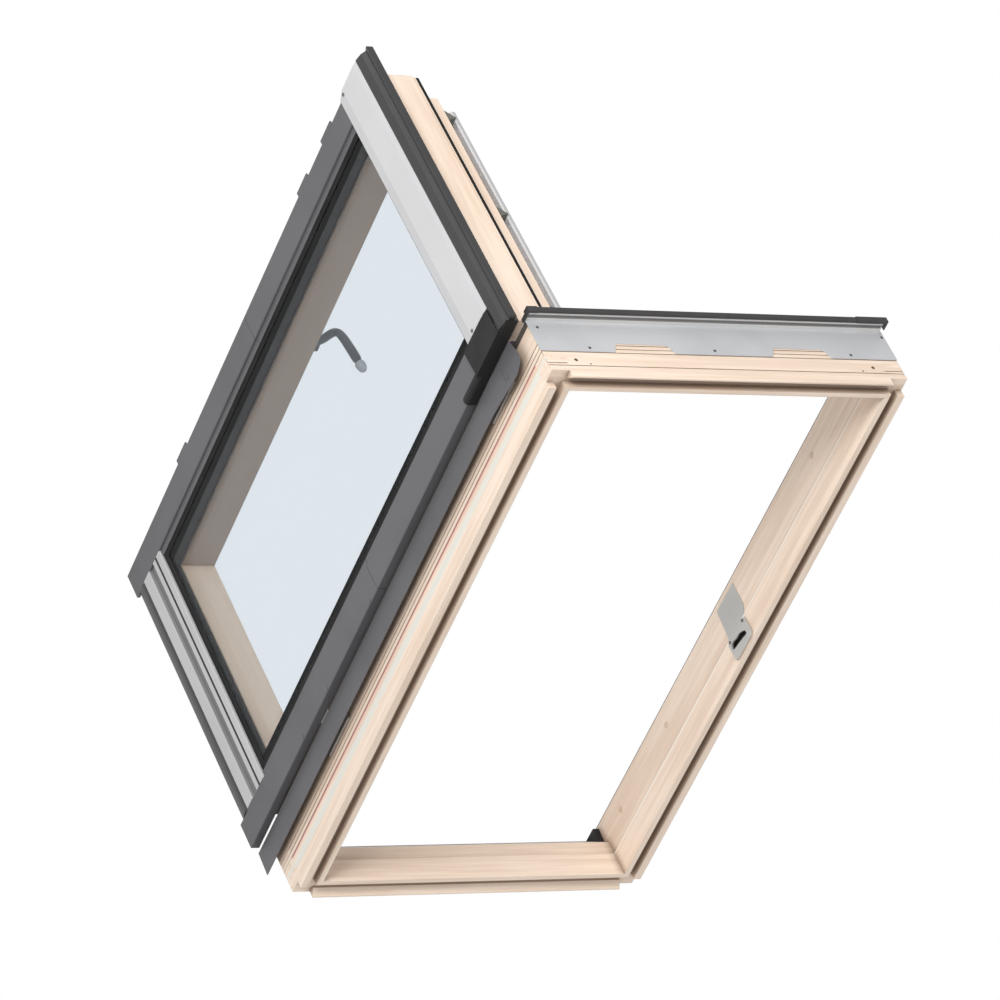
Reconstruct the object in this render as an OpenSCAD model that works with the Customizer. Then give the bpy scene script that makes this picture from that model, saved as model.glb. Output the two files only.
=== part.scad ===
// Side-hung roof window: a pine frame with a glazed sash that swings outward on its left side.
// X runs across the window, Y from the room to the outside, Z up the window's height.
// The origin is the middle of the sill's underside, in the plane of the installation line.

/* [Frame] */
// Outer width of the pine frame
frame_w = 660; // [540:1:1200]
// Outer height of the pine frame
frame_h = 1178; // [900:1:1700]
// Depth of the jambs and head from the room face to the outside
frame_d = 126; // [116:1:150]
// Depth of the installation line behind the room face
install_y = 55; // [30:1:70]
// Width of a jamb at the room face
jamb_t = 37.5; // [34:0.5:50]
// Height of the head at the room face
head_t = 30; // [27:0.5:45]
// Height of the sill at the room face
sill_t = 39; // [36:0.5:50]
// Step of the rebate that the sash closes into
rebate = 7.5; // [6:0.5:12]
// Depth of the rebate's stop behind the room face
stop_y = 48; // [40:1:54]
// Depth of the lining groove
groove_d = 14; // [8:0.5:20]
// Thickness of the lip outside the lining groove
lip_t = 13; // [10:0.5:15]
// Wood strip between the lining groove and the opening, on the jambs
strip_t = 10; // [7:0.5:11]
// Wood strip between the lining groove and the opening, on the head and sill
rail_strip_t = 8.5; // [6:0.5:9]
// Depth of the sill's level part
sill_d = 81; // [70:1:95]
// Length of the slope outside the sill's level part
sill_slope = 23; // [14:1:24]

/* [Sash] */
// Opening angle of the sash
sash_open = 90; // [0:1:90]
// Gap between the sash's wood and the frame all round
sash_gap = 5; // [4:0.5:8]
// Width of a sash stile
stile_w = 68; // [60:1:90]
// Height of the sash's top rail
top_rail_h = 98; // [85:1:130]
// Height of the sash's bottom rail
bottom_rail_h = 67.5; // [60:0.5:100]
// Thickness of the sash's wood
sash_t = 63.5; // [58:0.5:70]
// Room face of the sash behind the frame's room face
sash_y = 54.5; // [52:0.5:60]
// Thickness of one glass pane
pane_t = 4; // [3:0.5:6]
// Width of the space between the panes
pane_space = 14; // [10:1:16]
// How far the glass runs onto the wood
glass_over = 33; // [25:1:38]

/* [Cladding] */
// Thickness of the cladding sheet
sheet_t = 1.5; // [1:0.1:2]
// Stand-off of the frame's side covers from the wood
cover_off = 15; // [13:0.5:20]
// Width of the frame's side covers
cover_w = 46; // [38:1:48]
// Width of the sash's side covers
sash_cover_w = 54; // [46:1:60]

/* [Handle] */
// Height of the handle's turning axis
handle_z = 611; // [450:1:750]
// Angle of the handle from its open position towards locked
handle_turn = 0; // [0:1:90]
// Length of the grip
grip_l = 92; // [70:1:130]
// Travel of the lock bolt
bolt_travel = 11; // [8:0.5:12]

/* [Hinges] */
// Height of the lower hinge's middle
hinge_low_z = 298; // [150:1:400]
// Distance of the upper hinge's middle below the frame's top
hinge_top_drop = 133; // [125:1:300]
// Length of one hinge
hinge_l = 90; // [60:1:110]
// Radius of the hinge pins
pin_r = 2.5; // [2:0.1:3]
// Radial clearance of the hinge pins in their knuckles
pin_clear = 0.05; // [0.02:0.01:0.1]

/* [Hidden] */
$fn = 48;
half_w = frame_w / 2;
open_x = half_w - jamb_t;
rebate_x = open_x + rebate;
groove_x = open_x + strip_t;
lip_x = half_w - lip_t;
head_open_z = frame_h - head_t;
head_rebate_z = head_open_z + rebate;
sill_rebate_z = sill_t - rebate;
lip_edge = 2.5;
corner_in_x = 32;
corner_in_z = 25;
finger = (stop_y - groove_d) / 4;
finger_end = groove_d + 7 * finger;
groove_line = 1.4;
long_grooves = [25.5, groove_d + 5 * finger, groove_d + 6 * finger, finger_end];
sill_back = sill_d + sill_slope;
touch = 0.02;

// Hinge axis and the sash's own sizes, in its closed place
hinge_x = -half_w - 1;
hinge_y = frame_d - 6;
sash_x = rebate_x - sash_gap;
sash_z0 = sill_rebate_z + sash_gap;
sash_z1 = head_rebate_z - sash_gap;
light_x = sash_x - stile_w;
light_z0 = sash_z0 + bottom_rail_h;
light_z1 = sash_z1 - top_rail_h;
sash_back = sash_y + sash_t;
tape_t = 2;
glass_y = sash_back + tape_t;
glass_back = glass_y + 2 * pane_t + pane_space;
glass_x = light_x + glass_over;
glass_z0 = light_z0 - glass_over;
glass_z1 = light_z1 + glass_over;
face_y = glass_back + 6.5;
lip_y = glass_back + 2.5;
skin_x = sash_x + 28;
skin_in = skin_x - sash_cover_w;
lip_in = skin_in - 13;
skirt_y = sash_back + 15;
cover_z0 = -15;
bottom_top_z = light_z0 - 5;
cover_joint_z = frame_h / 2 + 4;
cover_z1 = light_z1 + 22;
clip_zs = [273, cover_z1 - 193.5, cover_z1 - 80];
web_y = frame_d;
cap_z = frame_h + 19;
cover_x = half_w + cover_off;
cover_y1 = frame_d - 4;
cover_y0 = cover_y1 - cover_w;
cover_top = frame_h - 47;
cover_foot_z = -25;
hinge_zs = [hinge_low_z, frame_h - hinge_top_drop];
knuckle_r = 4.5;
handle_x = light_x + 20;
bolt_z = handle_z - 30;
bolt_y = 27;
keep_z0 = bolt_z - 32;
keep_z1 = bolt_z + 34;
flap_z1 = sash_z1 - 26;
flap_z0 = flap_z1 - 40;
flap_x = open_x - 20;
flap_y0 = 9;
bar_y0 = -14;
bracket_xs = [-flap_x + 38, 0, flap_x - 38];
flap_rod_r = 2;
flap_lug_w = 16;
flap_lug_xs = [-flap_x + 60, 0, flap_x - 60];
plug_zs = [98, 305, 933];
screw_r = 3.2;
notch_l = 112;
notch_xs = [-142, 150];
sheet_y = 57.5;

// Places
module at_origin() translate([0, -install_y, 0]) children();

module on_sash()
    at_origin()
        translate([hinge_x, hinge_y, 0]) rotate([0, 0, sash_open]) translate([-hinge_x, -hinge_y, 0])
            children();

module both_sides() {
    children();
    mirror([1, 0, 0]) children();
}

// A block from its low corner to its high corner
module block(low, high) translate(low) cube(high - low);

// A section drawn in Y and Z, run along X from x0 to x1
module along_x(x0, x1) translate([x0, 0, 0]) rotate([90, 0, 90]) linear_extrude(x1 - x0) children();

// A rectangular ring in X and Z, with its depth along Y
module ring(x_out, z0, z1, width, y0, y1)
    difference() {
        block([-x_out, y0, z0], [x_out, y1, z1]);
        block([-x_out + width, y0 - 1, z0 + width], [x_out - width, y1 + 1, z1 - width]);
    }

// A screw head with a shank behind it, facing along -Z of its own axes
module screw(head_r, length) {
    translate([0, 0, -1.2]) cylinder(r = head_r, h = 1.2);
    cylinder(r = head_r * 0.5, h = length);
}

// Frame
module finger_block(k, x0, z0, z1)
    block([x0, groove_d + k * finger, z0], [half_w, groove_d + (k + 1) * finger, z1]);

module jamb_shape() {
    // Between the corners
    translate([0, 0, sill_t]) linear_extrude(frame_h - sill_t - head_t)
        polygon([[open_x, 0], [groove_x, 0], [groove_x, groove_d], [half_w, groove_d],
            [half_w, frame_d], [rebate_x, frame_d], [rebate_x, stop_y], [open_x, stop_y]]);
    // Lip outside the lining groove
    block([lip_x, 0, corner_in_z], [half_w, groove_d, frame_h - corner_in_z]);
    // Fingers through both corner joints
    for (k = [1, 3]) {
        finger_block(k, open_x, 0, sill_t);
        finger_block(k, open_x, head_open_z, frame_h);
    }
    finger_block(5, rebate_x, 0, sill_t);
    finger_block(5, rebate_x, head_open_z, frame_h);
    block([rebate_x, finger_end, 0], [half_w, frame_d, sill_t]);
    block([rebate_x, finger_end, head_open_z], [half_w, frame_d, frame_h]);
}

// Grooves along the outside of the head and jambs, with short ones at the corner joints
module outer_grooves() {
    for (y = long_grooves)
        block([-half_w - 1, y - groove_line / 2, frame_h - groove_line],
            [half_w + 1, y + groove_line / 2, frame_h + 1]);
    both_sides() {
        for (y = [long_grooves[1], long_grooves[2], long_grooves[3]])
            block([half_w - groove_line, y - groove_line / 2, -1],
                [half_w + 1, y + groove_line / 2, frame_h + 1]);
        block([open_x + 2, groove_d + 2 * finger - groove_line / 2, frame_h - groove_line],
            [half_w + 1, groove_d + 2 * finger + groove_line / 2, frame_h + 1]);
    }
}

module plug_holes()
    for (z = plug_zs)
        translate([rebate_x - 1, 95, z]) rotate([0, 90, 0]) cylinder(r = 6, h = 9);

// Pilot holes for the screws of the head sheet and of the side covers
module sheet_screw_pilots()
    for (p = sheet_screw_places())
        translate([p[0], p[1], frame_h - 12]) cylinder(r = 1.6, h = 13);

module cover_screw_pilots() both_sides()
    translate([-half_w - 1, cover_y0 + 12, cover_top - 37]) rotate([0, 90, 0])
        cylinder(r = 1.7, h = 13);

module hinge_pocket(z)
    block([-half_w - 1, hinge_y - knuckle_r - 1.5, z - hinge_l / 2 - 1],
        [hinge_x + knuckle_r + 1.5, frame_d + 1, z + hinge_l / 2 + 1]);

module frame_left_jamb() color("wheat") at_origin()
    difference() {
        mirror([1, 0, 0]) jamb_shape();
        mirror([1, 0, 0]) plug_holes();
        outer_grooves();
        sheet_screw_pilots();
        cover_screw_pilots();
        for (z = hinge_zs) hinge_pocket(z);
    }

module frame_right_jamb() color("wheat") at_origin()
    difference() {
        jamb_shape();
        plug_holes();
        outer_grooves();
        sheet_screw_pilots();
        cover_screw_pilots();
        // Mortise behind the keep, and the seat of the striker plate
        block([open_x - 1, bolt_y - 11, bolt_z - 30], [open_x + 8, bolt_y + 11, bolt_z + 25]);
        striker_shape(-1, 1, 0);
    }

module wood_plugs() color("burlywood") at_origin() both_sides()
    for (z = plug_zs)
        translate([rebate_x, 95, z]) rotate([0, 90, 0]) cylinder(r = 6 - touch, h = 8 - touch);

module frame_head() color("wheat") at_origin()
    difference() {
        union() {
            along_x(-open_x, open_x)
                polygon([[groove_d, frame_h], [frame_d, frame_h], [frame_d, head_rebate_z],
                    [stop_y, head_rebate_z], [stop_y, head_open_z], [groove_d, head_open_z]]);
            block([-groove_x, 0, head_open_z], [groove_x, groove_d, head_open_z + rail_strip_t]);
            // Bevelled lip above the lining groove
            along_x(-half_w + corner_in_x, half_w - corner_in_x)
                polygon([[0, frame_h], [groove_d, frame_h], [groove_d, frame_h - lip_t],
                    [lip_t - lip_edge, frame_h - lip_t], [0, frame_h - lip_edge]]);
            both_sides() {
                block([open_x, stop_y, head_rebate_z], [rebate_x, frame_d, frame_h]);
                for (k = [0, 2]) finger_block(k, open_x, head_open_z, frame_h);
                for (k = [4, 6]) finger_block(k, rebate_x, head_open_z, frame_h);
            }
        }
        outer_grooves();
        sheet_screw_pilots();
        // Open holes for the screws of fittings
        both_sides() {
            translate([276, 38.5, frame_h - 20]) cylinder(r = 3.2, h = 21);
            translate([296, 42, frame_h - 12]) cylinder(r = 1.6, h = 13);
            translate([253, 30, frame_h - 12]) cylinder(r = 1.6, h = 13);
        }
    }

module frame_sill() color("wheat") at_origin() {
    along_x(-open_x, open_x)
        polygon([[groove_d, 0], [sill_back, 0], [sill_back, sill_rebate_z - sill_slope],
            [sill_d, sill_rebate_z], [stop_y, sill_rebate_z], [stop_y, sill_t], [groove_d, sill_t]]);
    block([-groove_x, 0, sill_t - rail_strip_t], [groove_x, groove_d, sill_t]);
    // Bevelled lip below the lining groove
    along_x(-half_w + corner_in_x, half_w - corner_in_x)
        polygon([[0, 0], [0, lip_edge], [lip_t - lip_edge, lip_t], [groove_d, lip_t], [groove_d, 0]]);
    both_sides() {
        along_x(open_x, rebate_x) sill_rebate_section();
        for (k = [0, 2]) finger_block(k, open_x, 0, sill_t);
        for (k = [4, 6]) finger_block(k, rebate_x, 0, sill_t);
    }
}

module sill_rebate_section()
    polygon([[stop_y, 0], [sill_back, 0], [sill_back, sill_rebate_z - sill_slope],
        [sill_d, sill_rebate_z], [stop_y, sill_rebate_z]]);

module head_sheet() color("silver") at_origin()
    difference() {
        block([-half_w - 1.5, sheet_y, frame_h], [half_w + 1.5, web_y, frame_h + 0.8]);
        // Cut-outs for the mounting brackets
        for (x = notch_xs)
            translate([x, sheet_y, frame_h - 1]) linear_extrude(3)
                polygon([[-notch_l / 2, -1], [notch_l / 2, -1], [notch_l / 2 - 3, 8],
                    [notch_l / 2 - 7, 15], [notch_l / 2 - 13, 19], [-notch_l / 2 + 11, 20]]);
        for (p = sheet_screw_places())
            translate([p[0], p[1], frame_h - 1]) cylinder(r = 1.6, h = 3);
    }

function sheet_screw_places() = [[-half_w + 14, 110], [half_w - 3.5, 110], [-240, 66],
    [246, 66], [-10, 67]];

module head_sheet_screws() color("gray") at_origin()
    for (p = sheet_screw_places())
        translate([p[0], p[1], frame_h + 0.8]) {
            cylinder(r = 2.6, h = 1);
            translate([0, 0, -12]) cylinder(r = 1.5, h = 12);
        }

module head_profile() color("gainsboro") at_origin()
    along_x(-half_w, half_w)
        polygon([[web_y, frame_h - 16], [web_y + 1.5, frame_h - 16], [web_y + 1.5, frame_h + 6],
            [web_y + 4, frame_h + 7.5], [web_y + 4, cap_z - 5], [web_y + 1.5, cap_z - 4],
            [web_y + 1.5, cap_z], [web_y - 0.4, cap_z], [web_y - 0.4, cap_z - 5.5],
            [web_y + 2.5, cap_z - 6.5], [web_y + 2.5, frame_h + 8.5], [web_y - 0.4, frame_h + 7],
            [web_y - 0.4, frame_h + 3], [web_y, frame_h + 2.5]]);

module casing_section(grow = 0)
    difference() {
        translate([web_y - 1.6 - grow, cap_z - 9]) square([9 + 2 * grow, 12.5 + grow]);
        translate([web_y - 0.4 - grow, cap_z - 10]) square([6.3 + 2 * grow, 10 + touch]);
        translate([web_y - 2 - grow, cap_z - 10]) square([2 + grow, 8.8]);
    }

module head_casing() color("dimgray") at_origin()
    along_x(-half_w + 14, half_w - 53) casing_section();

module head_casing_end_left() color("dimgray") at_origin() {
    along_x(-half_w - 5, -half_w + 14) casing_section(0.8);
    block([-half_w - 5, web_y - 2.4, cap_z - 22], [-half_w - 3, web_y + 4.5, cap_z + 1]);
}

module head_casing_end_right() color("dimgray") at_origin() {
    along_x(half_w - 53, half_w + 6) casing_section(0.8);
    block([half_w + 4, web_y - 2.4, cap_z - 14], [half_w + 6, web_y + 8.2, cap_z + 1]);
}

// Side cover of the frame, drawn on the right-hand side
module frame_cover_shape() {
    translate([cover_x - sheet_t, 0, 0]) rotate([90, 0, 90]) linear_extrude(sheet_t)
        polygon([[cover_y0, cover_foot_z], [cover_y1, cover_foot_z + 3], [cover_y1, cover_top + 5],
            [cover_y0 + 20, cover_top + 11], [cover_y0 + 12, cover_top + 13],
            [cover_y0 + 3, cover_top + 10], [cover_y0 - 3, cover_top + 3],
            [cover_y0 - 9, cover_top - 14], [cover_y0 - 7.5, cover_top - 32],
            [cover_y0 - 4, cover_top - 62], [cover_y0, cover_top - 105]]);
    // Return over the wood's outer edge
    translate([0, 0, cover_foot_z + 3]) linear_extrude(cover_top - cover_foot_z)
        polygon([[cover_x - sheet_t, cover_y1 - 2], [cover_x, cover_y1],
            [half_w + 8, frame_d + sheet_t], [rebate_x, frame_d + sheet_t], [rebate_x, frame_d],
            [half_w + 8, frame_d]]);
}

module frame_cover_left() color("dimgray") at_origin()
    difference() {
        mirror([1, 0, 0]) frame_cover_shape();
        for (z = hinge_zs)
            block([-cover_x + sheet_t, hinge_y - 6, z - hinge_l / 2 - 3],
                [-rebate_x + 1, frame_d + 3, z + hinge_l / 2 + 3]);
        cover_screw_holes();
        cover_recess();
    }

module frame_cover_right() color("dimgray") at_origin()
    difference() {
        frame_cover_shape();
        mirror([1, 0, 0]) {
            cover_screw_holes();
            cover_recess();
        }
    }

// Shallow seat round the cover's screw
module cover_recess()
    block([-cover_x - 1, cover_y0 + 5, cover_top - 43], [-cover_x + 0.6, cover_y1 - 3, cover_top - 29]);

module cover_screw_holes()
    translate([-cover_x - 1, cover_y0 + 12, cover_top - 37]) rotate([0, 90, 0]) cylinder(r = 1.8, h = 4);

module frame_cover_screws() color("gray") at_origin() both_sides()
    translate([-cover_x, cover_y0 + 12, cover_top - 37]) rotate([0, 90, 0]) {
        translate([0, 0, -0.4]) cylinder(r = 3, h = 1);
        cylinder(r = 1.6, h = cover_off + 11);
    }

module sill_cover() color("dimgray") at_origin()
    along_x(-rebate_x + touch, rebate_x - touch)
        polygon([[sill_back, sill_rebate_z - sill_slope], [sill_back, -15.5], [frame_d, -15.5],
            [frame_d, -14], [sill_back + sheet_t, -14],
            [sill_back + sheet_t, sill_rebate_z - sill_slope - 1]]);

module sill_corner_pieces() color("dimgray") at_origin() both_sides()
    along_x(rebate_x - 12, rebate_x)
        polygon([[sill_d + 11, sill_rebate_z - 11 + touch], [frame_d - 5, sill_rebate_z - 9],
            [frame_d - 5, -12], [sill_back + sheet_t + 0.2, -12],
            [sill_back + sheet_t + 0.2, sill_rebate_z - sill_slope - touch]]);

// Lock parts on the frame
module lock_keep() color("silver") at_origin()
    difference() {
        translate([open_x - 3, 0, 0]) rotate([90, 0, 90]) linear_extrude(3) keep_outline();
        // Curved slot for the bolt
        translate([open_x - 4, bolt_y, bolt_z]) rotate([90, 0, 90]) linear_extrude(6)
            polygon([[-10.5, 19], [-8.5, 22], [-3, 21], [1, 16], [6, 5], [6.2, -8], [9, -17], [8, -24],
                [3, -28], [-2.5, -25], [-4, -18], [-5.2, -7], [-8, 8]]);
        for (z = [keep_z0 + 7, keep_z1 - 7])
            translate([open_x - 4, 41, z]) rotate([0, 90, 0]) cylinder(r = 2.2, h = 5);
    }

module keep_outline()
    polygon([[5, keep_z0 + 6], [9, keep_z0], [40, keep_z0], [46, keep_z0 + 5],
        [46, keep_z1 - 6], [40, keep_z1], [10, keep_z1], [5, keep_z1 - 5]]);

module lock_keep_screws() color("gray") at_origin()
    for (z = [keep_z0 + 7, keep_z1 - 7])
        translate([open_x - 3, 41, z]) rotate([0, 90, 0]) screw(3, 3);

module striker_shape(inside, depth, gap)
    translate([rebate_x + inside, 0, bolt_z]) rotate([90, 0, 90]) linear_extrude(depth - inside)
        polygon([[stop_y + 7 + gap, -35 + gap], [frame_d - 8.5 - gap, -29 + gap],
            [frame_d - 8.5 - gap, 39 - gap], [stop_y + 21 + gap, 38 - gap], [stop_y + 7 + gap, 27 - gap]]);

module striker_plate() color("silver") at_origin() striker_shape(-0.6, 1 - touch, touch);

// Hinges
module frame_leaf(z) {
    third = hinge_l / 3;
    block([hinge_x - 2.4, hinge_y - 38, z - hinge_l / 2], [-half_w, hinge_y - 9, z + hinge_l / 2]);
    for (k = [0, 2]) {
        z0 = z - hinge_l / 2 + k * third;
        difference() {
            union() {
                block([hinge_x - 2.4, hinge_y - 10, z0], [-half_w, hinge_y, z0 + third]);
                translate([hinge_x, hinge_y, z0]) cylinder(r = knuckle_r, h = third);
            }
            translate([hinge_x, hinge_y, z0 - 1]) cylinder(r = pin_r, h = third + 2);
        }
    }
}

module sash_leaf(z) {
    third = hinge_l / 3 - 0.6;
    z0 = z - third / 2;
    difference() {
        union() {
            translate([hinge_x, hinge_y, z0]) cylinder(r = knuckle_r, h = third);
            block([hinge_x - knuckle_r, hinge_y, z0], [hinge_x - 1.5, hinge_y + 11, z0 + third]);
            block([hinge_x - knuckle_r, hinge_y + 8.2, z0], [-sash_x + 6, hinge_y + 11, z0 + third]);
            block([-sash_x + 5, hinge_y + 8.2, z - hinge_l / 2 + 4],
                [-glass_x - 3, hinge_y + 11, z + hinge_l / 2 - 4]);
            block([-sash_x + 5, sash_back, z - hinge_l / 2 + 4],
                [-glass_x - 3, hinge_y + 9, z + hinge_l / 2 - 4]);
        }
        translate([hinge_x, hinge_y, z0 - 1]) cylinder(r = pin_r + pin_clear, h = third + 2);
        for (s = [-1, 1])
            translate([-sash_x + 18, sash_back - 1, z + s * 28]) rotate([-90, 0, 0])
                cylinder(r = 2.1, h = 20);
    }
}

module lower_hinge_frame_leaf() color("gray") at_origin() frame_leaf(hinge_zs[0]);
module upper_hinge_frame_leaf() color("gray") at_origin() frame_leaf(hinge_zs[1]);
module lower_hinge_sash_leaf() color("gray") on_sash() sash_leaf(hinge_zs[0]);
module upper_hinge_sash_leaf() color("gray") on_sash() sash_leaf(hinge_zs[1]);

module hinge_pins() color("silver") at_origin()
    for (z = hinge_zs)
        translate([hinge_x, hinge_y, z - hinge_l / 2]) cylinder(r = pin_r, h = hinge_l);

module hinge_screws() color("silver") on_sash()
    for (z = hinge_zs, s = [-1, 1])
        translate([-sash_x + 18, hinge_y + 11, z + s * 28]) rotate([90, 0, 0]) {
            translate([0, 0, -1]) cylinder(r = 4, h = 1);
            cylinder(r = 2, h = hinge_y + 11 - sash_back);
        }

// Sash wood
module stile_shape()
    difference() {
        block([light_x, sash_y, light_z0], [sash_x, sash_back, light_z1]);
        block([sash_x - 2, sash_y - 1, light_z0 - 1], [sash_x + 1, sash_y + 6, light_z1 + 1]);
    }

module sash_hinge_stile() color("wheat") on_sash() mirror([1, 0, 0]) stile_shape();

module sash_lock_stile() color("wheat") on_sash() stile_shape();

module sash_top_rail() color("wheat") on_sash()
    difference() {
        block([-sash_x, sash_y, light_z1], [sash_x, sash_back, sash_z1]);
        block([-sash_x - 1, sash_y - 1, sash_z1 - 2], [sash_x + 1, sash_y + 6, sash_z1 + 1]);
        both_sides() block([sash_x - 2, sash_y - 1, light_z1 - 1], [sash_x + 1, sash_y + 6, sash_z1 + 1]);
    }

module sash_bottom_rail() color("wheat") on_sash()
    difference() {
        block([-sash_x, sash_y, sash_z0], [sash_x, sash_back, light_z0]);
        block([-sash_x - 1, sash_y - 1, sash_z0 - 1], [sash_x + 1, sash_y + 6, sash_z0 + 2]);
        both_sides() block([sash_x - 2, sash_y - 1, sash_z0 - 1], [sash_x + 1, sash_y + 6, light_z0 + 1]);
    }

module sash_seal() color("black") on_sash()
    ring(sash_x - 2, sash_z0 + 2, sash_z1 - 2, 6, stop_y + 0.8, sash_y);

// Glazing
module glazing_tape() color("black") on_sash()
    ring(light_x + 30, light_z0 - 30, light_z1 + 30, 26, sash_back, glass_y);

module pane_inner() color("lightblue", 0.4) on_sash()
    block([-glass_x, glass_y, glass_z0], [glass_x, glass_y + pane_t, glass_z1]);

module pane_outer() color("lightblue", 0.4) on_sash()
    block([-glass_x, glass_back - pane_t, glass_z0], [glass_x, glass_back, glass_z1]);

module pane_spacer() color("gray") on_sash()
    ring(glass_x - 16, glass_z0 + 16, glass_z1 - 16, 13, glass_y + pane_t, glass_back - pane_t);

module pane_edge_seal() color("black") on_sash()
    ring(glass_x, glass_z0, glass_z1, 16, glass_y + pane_t, glass_back - pane_t);

module outer_glazing_seal() color("black") on_sash()
    ring(lip_in + 3, bottom_top_z, light_z1 + 20, 14, glass_back, lip_y - sheet_t);

// Side cover of the sash, drawn on the lock side
module sash_cover_shape(z0, z1) {
    translate([0, 0, z0]) linear_extrude(z1 - z0)
        polygon([[skin_x, skirt_y], [skin_x, face_y - 1], [skin_x - 1, face_y], [skin_in + 1, face_y],
            [skin_in, face_y - 1], [skin_in, lip_y - sheet_t], [skin_in + sheet_t, lip_y - sheet_t],
            [skin_in + sheet_t, face_y - sheet_t], [skin_x - sheet_t, face_y - sheet_t],
            [skin_x - sheet_t, skirt_y]]);
    // Lip over the glass, above the bottom cover
    block([lip_in, lip_y - sheet_t, max(z0, bottom_top_z)], [skin_in + sheet_t, lip_y, z1]);
}

// Carriers between the wood and the side covers
module cover_foot(z)
    block([glass_x + 12, sash_back, z - 10], [glass_x + 14, face_y - sheet_t, z + 10]);

module side_cover(z0, z1, feet) {
    sash_cover_shape(z0, z1);
    for (z = feet) cover_foot(z);
}

module sash_cover_lock_lower() color("dimgray") on_sash()
    side_cover(cover_z0, cover_joint_z - 0.5, [150, 480]);

module sash_cover_lock_upper() color("dimgray") on_sash()
    side_cover(cover_joint_z + 0.5, cover_z1, [cover_joint_z + 90, cover_z1 - 150]);

module sash_cover_hinge_lower() color("dimgray") on_sash() mirror([1, 0, 0])
    side_cover(cover_z0, cover_joint_z - 0.5, [150, 480]);

module sash_cover_hinge_upper() color("dimgray") on_sash() mirror([1, 0, 0])
    side_cover(cover_joint_z + 0.5, cover_z1, [cover_joint_z + 90, cover_z1 - 150]);

module sash_cover_bottom() color("silver") on_sash() {
    along_x(-skin_in + 0.3, skin_in - 0.3)
        polygon([[131, -9], [141, -9], [145, -6], [148.5, 1], [150, 9], [150, 16],
            [face_y - 1.5, 20], [face_y + 1, 24], [face_y + 1, light_z0 - 57], [face_y, light_z0 - 54],
            [lip_y, light_z0 - 52], [lip_y, light_z0 - 38], [face_y, light_z0 - 36],
            [face_y, light_z0 - 25], [face_y - 3, light_z0 - 25], [face_y - 3, light_z0 - 21],
            [face_y, light_z0 - 20], [face_y, light_z0 - 7], [face_y - 2, bottom_top_z],
            [glass_back + 0.3, bottom_top_z], [glass_back + 0.3, light_z0 - 9],
            [face_y - sheet_t - 3, light_z0 - 9], [face_y - sheet_t - 3, light_z0 - 34],
            [lip_y - sheet_t, light_z0 - 36], [lip_y - sheet_t, light_z0 - 54],
            [face_y - sheet_t - 1, light_z0 - 56], [face_y - sheet_t - 1, 6], [144, 0], [140, -7],
            [131, -7]]);
    // Feet on the bottom rail, below the glass
    for (x = [-180, 0, 180])
        block([x - 15, sash_back, glass_z0 - 9], [x + 15, lip_y - sheet_t, glass_z0 - 7]);
}

module sash_cover_top() color("silver") on_sash() {
    y1 = face_y + 8;
    along_x(-skin_in, skin_x)
        polygon([[y1 - 6.2, light_z1 + 15], [y1, light_z1 + 39], [y1, light_z1 + 89],
            [y1 - 2, sash_z1 + 2], [y1 - 3.5, sash_z1 + 2], [y1 - sheet_t, light_z1 + 89],
            [y1 - sheet_t, light_z1 + 39], [y1 - 6.2 - sheet_t, light_z1 + 15]]);
    // Feet on the top rail, above the glass
    for (x = [-220, 0, 220])
        block([x - 15, sash_back, glass_z1 + 7], [x + 15, y1 - sheet_t, glass_z1 + 9]);
}

module sash_top_profile() color("dimgray") on_sash() {
    z1 = sash_z1 + 33.5;
    y0 = sash_back + 14;
    along_x(-skin_x + 2, skin_x)
        polygon([[y0, sash_z1 - 8], [y0 + 4, sash_z1 - 8], [y0 + 4, sash_z1 + 2],
            [face_y + 7, sash_z1 + 2], [face_y + 7, sash_z1 + 4], [face_y + 3, sash_z1 + 17],
            [face_y - 3, z1 - 10], [face_y - 0.5, z1 - 2], [face_y - 0.5, z1], [y0 + 4, z1],
            [y0 + 4, z1 - 4], [y0 + 2, sash_z1 + 2], [y0, sash_z1 - 6]]);
    // Foot on the top rail
    block([-sash_x + 2, sash_back, sash_z1 - 8], [sash_x - 2, y0, sash_z1 - 6]);
}

module hinge_corner_cover() color("black") on_sash() {
    y1 = face_y + 10;
    x0 = -skin_x - 2.4;
    x1 = -skin_in - 2;
    // Face plate, and the flange over the side cover's edge
    translate([0, y1, 0]) rotate([90, 0, 0]) linear_extrude(2)
        polygon([[x0 + 2, light_z1 + 8], [x1, light_z1 + 6], [x1, light_z1 + 78],
            [x1 - 4, sash_z1 + 1.5], [x0 + 2, sash_z1 + 1.5]]);
    block([x0, skirt_y, light_z1 + 6], [x0 + 2, y1, sash_z1 + 1.5]);
    block([x0, skirt_y, sash_z1], [x0 + 2, face_y + 5, sash_z1 + 26]);
    // Rounded tail down the edge
    translate([0, 0, light_z1 - 54]) linear_extrude(62)
        polygon([[x0, skirt_y], [x0, face_y], [x0 + 1.4, face_y + 3], [x0 + 5, face_y + 4.6],
            [x0 + 11, face_y + 4.6], [x0 + 15, face_y + 2.6], [x0 + 16, face_y + 0.3],
            [x0 + 2.2, face_y + 0.3], [x0 + 2.2, skirt_y]]);
}

module sash_cover_clips() color("dimgray") on_sash()
    for (z = clip_zs)
        block([skin_x, face_y - 5, z - 22], [skin_x + 10, face_y - 2, z + 22]);

module face_screw(x, y, z) translate([x, y + 0.8, z]) rotate([90, 0, 0]) cylinder(r = screw_r, h = 0.8);

module sash_cover_screws() color("gray") on_sash() {
    face_screw(skin_x - 9, face_y + 8, light_z1 + 36);
    face_screw(-skin_in + 6, face_y + 8, light_z1 + 46);
    for (z = [246, 358, 560]) face_screw(-skin_x + 6, face_y, z);
}

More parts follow.
